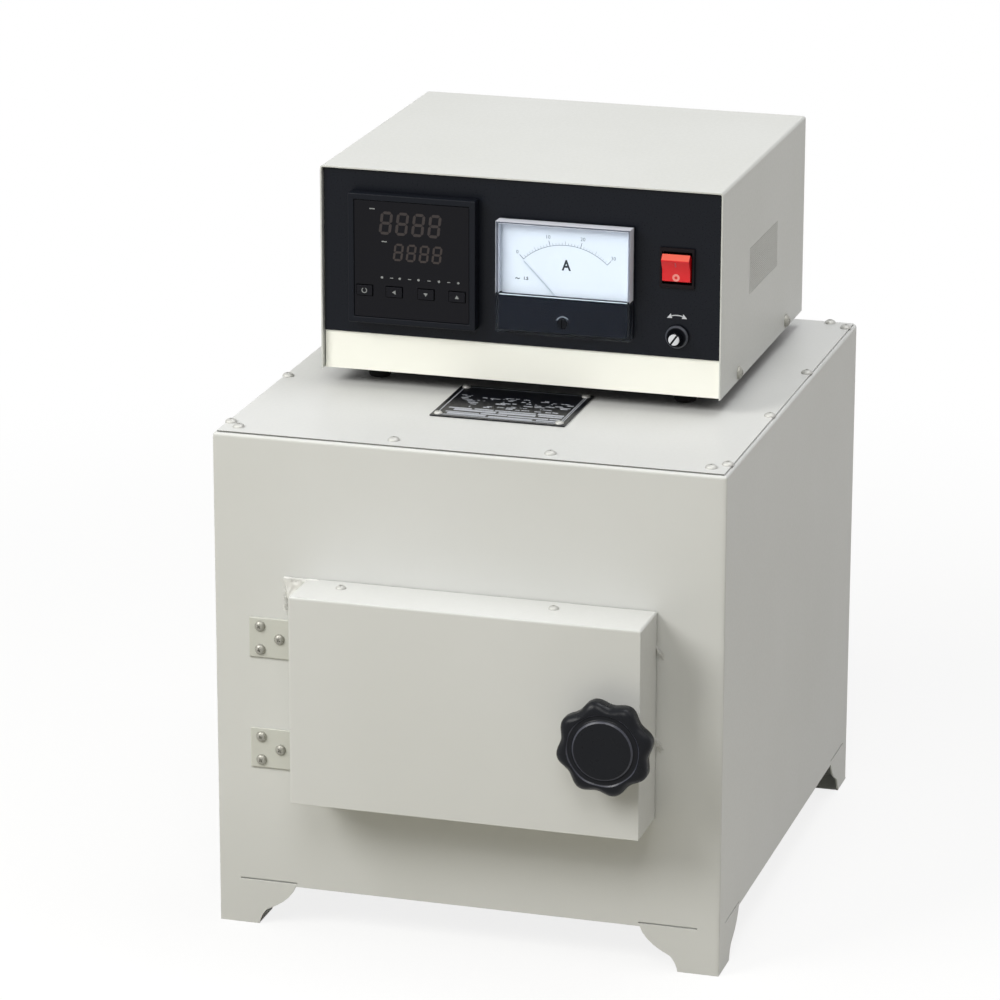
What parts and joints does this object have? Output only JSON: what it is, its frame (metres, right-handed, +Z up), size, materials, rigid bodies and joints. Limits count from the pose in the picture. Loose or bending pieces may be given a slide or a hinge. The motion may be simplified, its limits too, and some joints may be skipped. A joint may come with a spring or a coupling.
{
  "type": "box muffle kiln",
  "caption": "Small electric box muffle kiln: painted steel casing on ogee feet, hinged front door with lobed knob, temperature controller box standing on its lid.",
  "frame": {"origin": "on the floor, under the middle of the whole object's box", "axes": "+Z up, +Y to the back, +X to the right of someone who faces the door"},
  "size_m": [0.375, 0.5252, 0.536],
  "materials": {
    "casing_paint": "light warm grey semi-gloss enamel on sheet steel",
    "hinge_paint": "light warm grey enamel on steel",
    "steel": "plain rolled steel",
    "brass": "machined brass",
    "nameplate": "black etched aluminium plate, left without words",
    "fibre_board": "soft alumina-silica fibre board",
    "muffle": "fired fireclay, matt",
    "heating_wire": "oxidised resistance wire",
    "fascia": "black gloss painted plate",
    "strip_paint": "cream enamel",
    "black_plastic": "black moulded plastic",
    "knob_plastic": "black phenolic moulding",
    "rubber": "black rubber",
    "smoked_face": "smoked front foil with segment windows",
    "dial_card": "white printed dial plate",
    "clear_cover": "clear moulded cover",
    "needle_black": "matt black",
    "switch_red": "red translucent moulding",
    "key_plastic": "dark grey moulding",
    "heat_sink": "extruded aluminium",
    "green_plastic": "green moulding"
  },
  "bodies": {
    "root": {"casing_shell": "casing_paint", "rear_panel": "casing_paint", "top_cover": "casing_paint", "bottom_plate": "steel", "nameplate": "nameplate", "insulation_base": "fibre_board", "insulation_roof": "fibre_board", "insulation_side_left": "fibre_board", "insulation_side_right": "fibre_board", "insulation_rear": "fibre_board", "insulation_front": "fibre_board", "muffle": "muffle", "heating_element": "heating_wire", "terminal_block": "muffle", "terminal_stud_left": "brass", "terminal_stud_right": "brass", "thermocouple_sheath": "muffle", "thermocouple_head": "black_plastic", "mouth_gasket": "fibre_board", "latch_keeper": "steel", "hinge_leaf_upper_fixed": "hinge_paint", "hinge_leaf_lower_fixed": "hinge_paint", "hinge_pin_upper": "steel", "hinge_pin_lower": "steel", "kiln_gland": "rubber", "controller_gland": "rubber", "controller_chassis": "strip_paint", "controller_cover": "casing_paint", "controller_fascia": "fascia", "controller_foot_front_left": "rubber", "controller_foot_front_right": "rubber", "controller_foot_rear_left": "rubber", "controller_foot_rear_right": "rubber", "instrument_case": "black_plastic", "instrument_face": "smoked_face", "meter_case": "black_plastic", "meter_dial": "dial_card", "meter_mask": "black_plastic", "meter_cover": "clear_cover", "switch_frame": "black_plastic", "adjuster": "steel", "heat_sink": "heat_sink", "terminal_strip": "green_plastic"},
    "door": {"door_pan": "casing_paint", "door_tray": "steel", "door_insulation": "fibre_board", "hinge_leaf_upper_moving": "hinge_paint", "hinge_leaf_lower_moving": "hinge_paint", "latch_bush": "brass"},
    "knob": {"door_knob": "knob_plastic", "latch_spindle": "steel"},
    "rocker": {"rocker": "switch_red"},
    "needle": {"meter_needle": "needle_black"},
    "zero_screw": {"meter_zero_screw": "black_plastic"},
    "adjust_knob": {"adjust_knob": "knob_plastic"},
    "key_set": {"key_set": "key_plastic"},
    "key_shift": {"key_shift": "key_plastic"},
    "key_down": {"key_down": "key_plastic"},
    "key_up": {"key_up": "key_plastic"}
  },
  "joints": [
    {"name": "door_hinge", "type": "hinge", "parent": "root", "child": "door", "pos_m": [-0.1212, -0.19873, 0.1915], "axis": [0, 0, -1], "range_deg": [0, 100]},
    {"name": "knob_turn", "type": "hinge", "parent": "door", "child": "knob", "pos_m": [0.1198, -0.23378, 0.1887], "axis": [0, 1, 0], "range_deg": [0, 90]},
    {"name": "rocker_tilt", "type": "hinge", "parent": "root", "child": "rocker", "pos_m": [0.1149, -0.05072, 0.4787], "axis": [-1, 0, 0], "range_deg": [0, 28]},
    {"name": "needle_swing", "type": "hinge", "parent": "root", "child": "needle", "pos_m": [0.0332, -0.05473, 0.445], "axis": [0, 1, 0], "range_deg": [0, 88]},
    {"name": "zero_turn", "type": "hinge", "parent": "root", "child": "zero_screw", "pos_m": [0.0332, -0.06092, 0.434], "axis": [0, 1, 0], "range_deg": [-60, 60]},
    {"name": "adjust_turn", "type": "hinge", "parent": "root", "child": "adjust_knob", "pos_m": [0.1154, -0.05983, 0.4283], "axis": [0, 1, 0], "range_deg": [-135, 135]},
    {"name": "key_set_press", "type": "slide", "parent": "root", "child": "key_set", "axis": [0, 1, 0], "range_m": [0, 0.0006], "stiffness_N_per_m": 300},
    {"name": "key_shift_press", "type": "slide", "parent": "root", "child": "key_shift", "axis": [0, 1, 0], "range_m": [0, 0.0006], "stiffness_N_per_m": 300},
    {"name": "key_down_press", "type": "slide", "parent": "root", "child": "key_down", "axis": [0, 1, 0], "range_m": [0, 0.0006], "stiffness_N_per_m": 300},
    {"name": "key_up_press", "type": "slide", "parent": "root", "child": "key_up", "axis": [0, 1, 0], "range_m": [0, 0.0006], "stiffness_N_per_m": 300}
  ]
}
